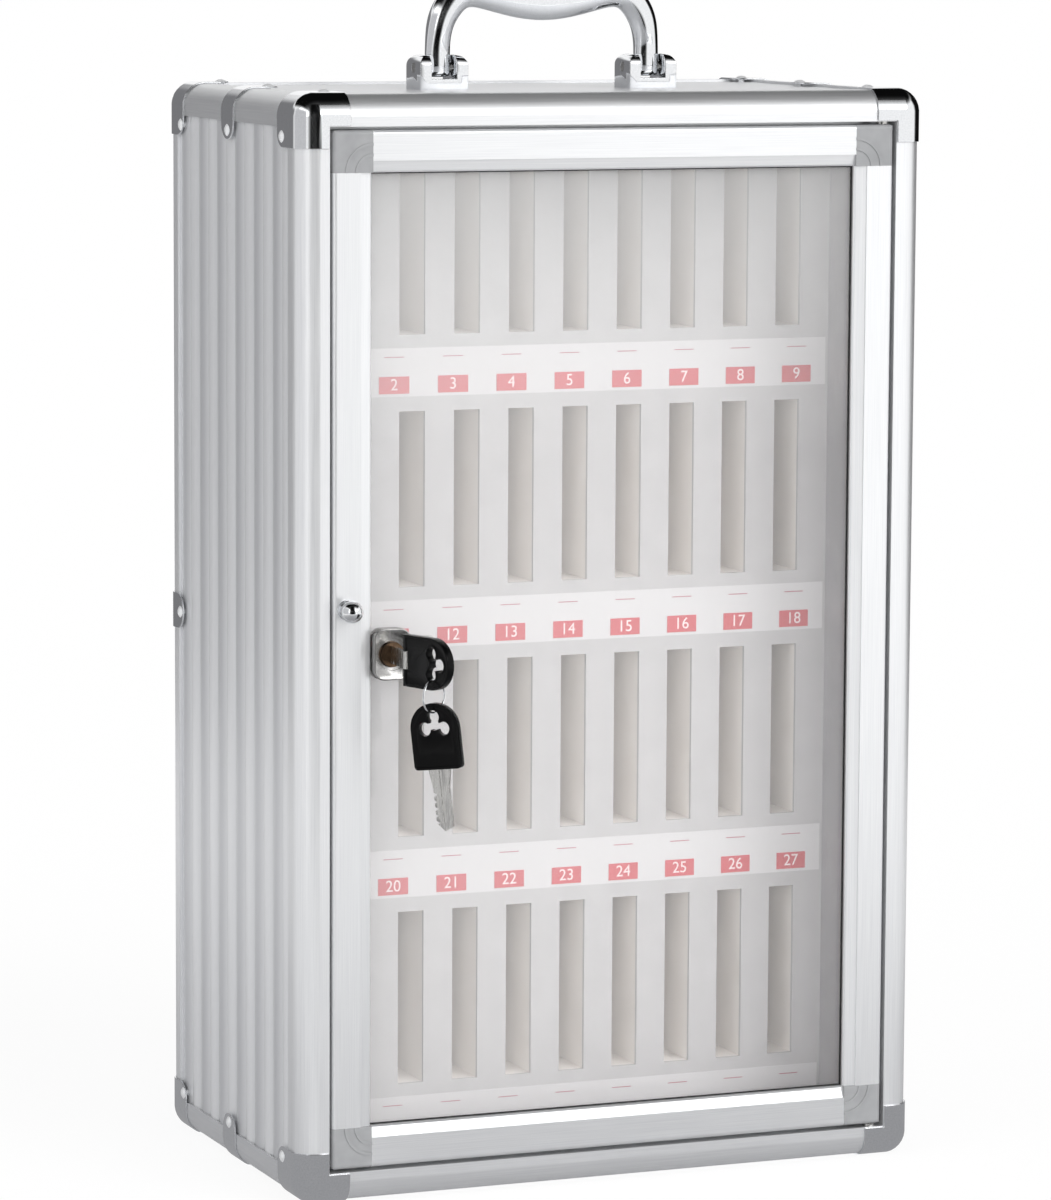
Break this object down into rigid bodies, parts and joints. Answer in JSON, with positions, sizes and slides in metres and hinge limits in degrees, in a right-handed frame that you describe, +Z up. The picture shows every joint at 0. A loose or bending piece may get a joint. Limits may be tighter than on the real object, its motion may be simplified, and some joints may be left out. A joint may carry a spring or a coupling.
{
  "type": "phone locker box",
  "caption": "Upright portable locker box for phones: white profile frame, fluted sides, chromed corners, hinged clear door with lock and keys, numbered slots and a folding handle.",
  "frame": {"origin": "centre of the plane the box stands on, under the middle of the case", "axes": "+Z up, -Y towards the door and its user, +X to the right seen from the front"},
  "size_m": [0.3342, 0.2553, 0.5969],
  "materials": {
    "white_profile": "satin",
    "fluted_silver": "satin",
    "pale_panel": "satin",
    "chrome": "polished",
    "steel": "satin",
    "grey_plastic": "matte",
    "clear_acrylic": "clear",
    "black_rubber": "matte",
    "black_plastic": "gloss",
    "liner_grey": "matte",
    "board_pale": "matte",
    "slot_grey": "matte",
    "white_label": "matte",
    "red_label": "satin"
  },
  "bodies": {
    "case": {"front_profile_left": "white_profile", "front_profile_right": "white_profile", "front_profile_top": "white_profile", "front_profile_bottom": "white_profile", "back_profiles_upright": "white_profile", "back_profiles_level": "white_profile", "edge_profiles": "white_profile", "side_panel_left": "fluted_silver", "side_panel_right": "fluted_silver", "top_panel": "pale_panel", "bottom_panel": "pale_panel", "back_panel": "pale_panel", "front_corners": "chrome", "back_corners": "chrome", "edge_clips": "chrome", "case_rivets": "steel", "liner_left": "liner_grey", "liner_right": "liner_grey", "cabin_floor": "liner_grey", "cabin_ceiling": "liner_grey", "rack_back": "slot_grey", "face_board": "board_pale", "shelf_1": "slot_grey", "shelf_2": "slot_grey", "shelf_3": "slot_grey", "shelf_4": "slot_grey", "shelf_5": "slot_grey", "dividers_1": "slot_grey", "dividers_2": "slot_grey", "dividers_3": "slot_grey", "dividers_4": "slot_grey", "label_sheets": "white_label", "number_plates": "red_label", "handle_bracket_left": "chrome", "handle_bracket_right": "chrome", "bracket_screws": "steel", "handle_pins": "steel", "hinge_pins": "steel"},
    "handle": {"handle": "chrome"},
    "door": {"door_stile_left": "white_profile", "door_stile_right": "white_profile", "door_rail_top": "white_profile", "door_rail_bottom": "white_profile", "door_corners": "grey_plastic", "door_glass": "clear_acrylic", "door_gasket": "black_rubber", "door_knob": "chrome", "knob_screw": "steel", "lock_housing": "chrome", "lock_nut": "steel"},
    "lock": {"lock_core": "steel", "lock_cam": "steel", "cam_screw": "steel"},
    "key": {"key_blade": "steel"},
    "bow": {"key_bow": "black_plastic", "bow_pin": "steel"},
    "ring": {"key_ring": "chrome"},
    "spare": {"spare_bow": "black_plastic", "spare_blade": "steel"}
  },
  "joints": [
    {"name": "door_swing", "type": "hinge", "parent": "case", "child": "door", "pos_m": [0.1435, -0.0955, 0.2709], "axis": [0, 0, 1], "range_deg": [0, 100]},
    {"name": "lock_turn", "type": "hinge", "parent": "door", "child": "lock", "pos_m": [-0.118, -0.1, 0.2709], "axis": [0, -1, 0], "range_deg": [0, 180]},
    {"name": "key_pull", "type": "slide", "parent": "lock", "child": "key", "axis": [0, -1, 0], "range_m": [0, 0.0135]},
    {"name": "bow_fold", "type": "hinge", "parent": "key", "child": "bow", "pos_m": [-0.118, -0.1218, 0.2709], "axis": [0, 0, 1], "range_deg": [-110, 70]},
    {"name": "ring_swing", "type": "hinge", "parent": "bow", "child": "ring", "pos_m": [-0.1113, -0.14022, 0.2635], "axis": [0.866, 0.5, 0], "range_deg": [-30, 30]},
    {"name": "spare_swing", "type": "hinge", "parent": "ring", "child": "spare", "pos_m": [-0.1113, -0.14022, 0.2475], "axis": [0.866, 0.5, 0], "range_deg": [-30, 30]},
    {"name": "handle_fold", "type": "hinge", "parent": "case", "child": "handle", "pos_m": [0, 0, 0.5504], "axis": [1, 0, 0], "range_deg": [-90, 90]}
  ]
}
